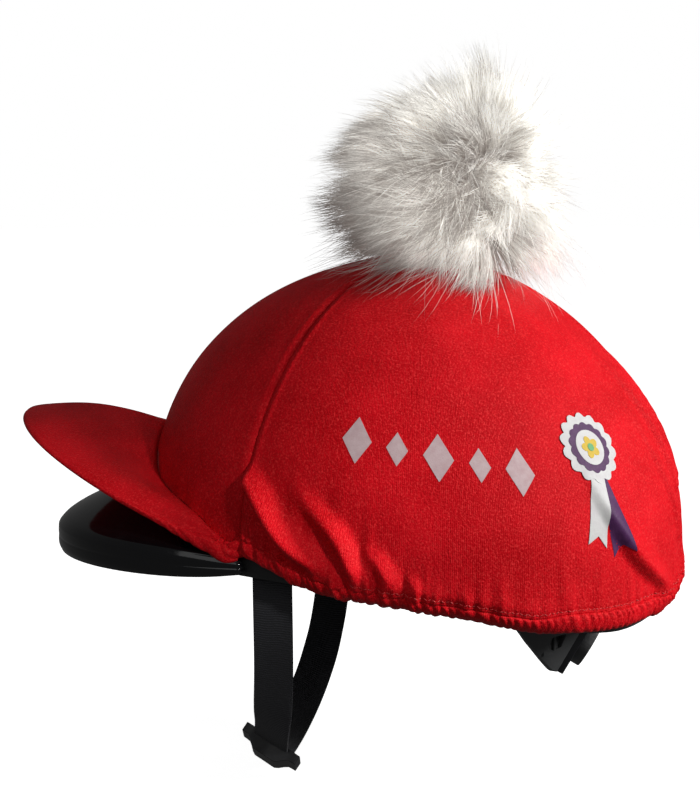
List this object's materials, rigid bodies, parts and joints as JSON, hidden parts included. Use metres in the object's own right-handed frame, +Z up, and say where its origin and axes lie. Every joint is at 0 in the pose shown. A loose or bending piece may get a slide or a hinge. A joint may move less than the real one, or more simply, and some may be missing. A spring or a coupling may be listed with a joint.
{
  "type": "jockey cap",
  "caption": "Hard riding helmet in a red stretch cover with a soft peak over the hard one, gathered hem, fur pompom, buckled chin strap and nape cradle with a turning dial.",
  "frame": {"origin": "middle of the head opening, level with the brow edge of the helmet", "axes": "+X to the wearer's left, +Y to the back of the head, +Z up; the peaks point along -Y"},
  "size_m": [0.2312, 0.3509, 0.378],
  "materials": {
    "gloss_black": "polished",
    "red_cloth": "satin stretch knit",
    "pale_fur": "long soft fur",
    "black_webbing": "ribbed webbing",
    "black_plastic": "moulded",
    "grey_plastic": "moulded"
  },
  "bodies": {
    "helmet": {"helmet_shell": "gloss_black", "hard_peak": "gloss_black", "front_panel": "red_cloth", "left_panel": "red_cloth", "right_panel": "red_cloth", "cloth_peak": "red_cloth", "elastic_hem": "red_cloth", "pompom": "pale_fur", "chin_strap": "black_webbing", "chin_buckle": "black_plastic", "nape_cradle": "grey_plastic"},
    "dial": {"adjuster_dial": "grey_plastic"}
  },
  "joints": [
    {"name": "dial_turn", "type": "hinge", "parent": "helmet", "child": "dial", "pos_m": [0, 0.08988, -0.04108], "axis": [0, 0.8758, -0.4826], "continuous": true}
  ]
}
